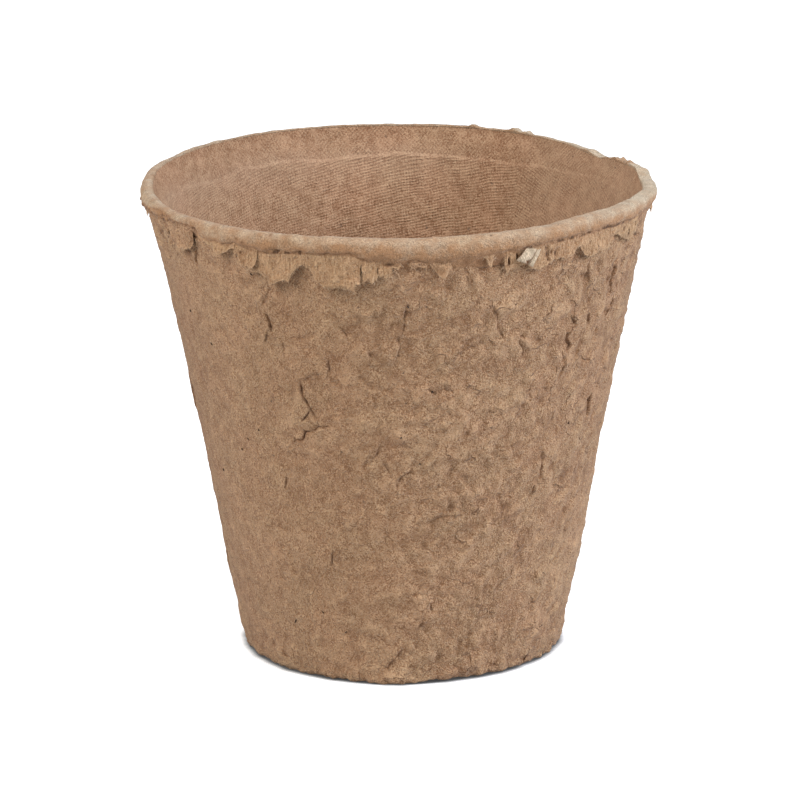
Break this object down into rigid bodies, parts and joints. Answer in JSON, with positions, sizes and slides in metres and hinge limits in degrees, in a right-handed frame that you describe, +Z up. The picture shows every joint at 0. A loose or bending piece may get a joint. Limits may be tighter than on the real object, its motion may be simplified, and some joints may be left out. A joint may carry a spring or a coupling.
{
  "type": "seedling pot",
  "caption": "Tapered round seedling pot of moulded paper pulp, with a pale bead round its open top, torn flakes of pulp hanging under the bead and a drain hole in its floor.",
  "frame": {"origin": "middle of the flat underside, on the ground the pot stands on", "axes": "+Z up through the open top, -Y towards the pictured side"},
  "size_m": [0.11, 0.11, 0.102],
  "materials": {
    "pulp_wall": "rough moulded pulp, speckled with fibres",
    "pulp_lip": "pale sandy pulp, pressed smooth",
    "torn_pulp": "torn fibrous pulp",
    "paper_scrap": "matte greyish white paper"
  },
  "bodies": {
    "root": {"pot_floor": "pulp_wall", "side_wall": "pulp_wall", "rim_lip": "pulp_lip", "flake_left_lump": "torn_pulp", "flake_left_tongue": "torn_pulp", "flake_left_scroll": "torn_pulp", "flake_front_point": "torn_pulp", "flake_front_wide": "torn_pulp", "flake_front_step": "torn_pulp", "flake_front_tongue": "torn_pulp", "flake_right_strings": "torn_pulp", "flake_right_flap": "torn_pulp", "flake_right_tip": "torn_pulp", "flake_right_shreds": "torn_pulp", "flake_back_1": "torn_pulp", "flake_back_2": "torn_pulp", "flake_back_3": "torn_pulp", "flake_back_4": "torn_pulp", "flake_back_5": "torn_pulp", "flake_back_6": "torn_pulp", "flake_back_7": "torn_pulp", "flake_back_8": "torn_pulp", "paper_chip": "paper_scrap"}
  },
  "joints": []
}
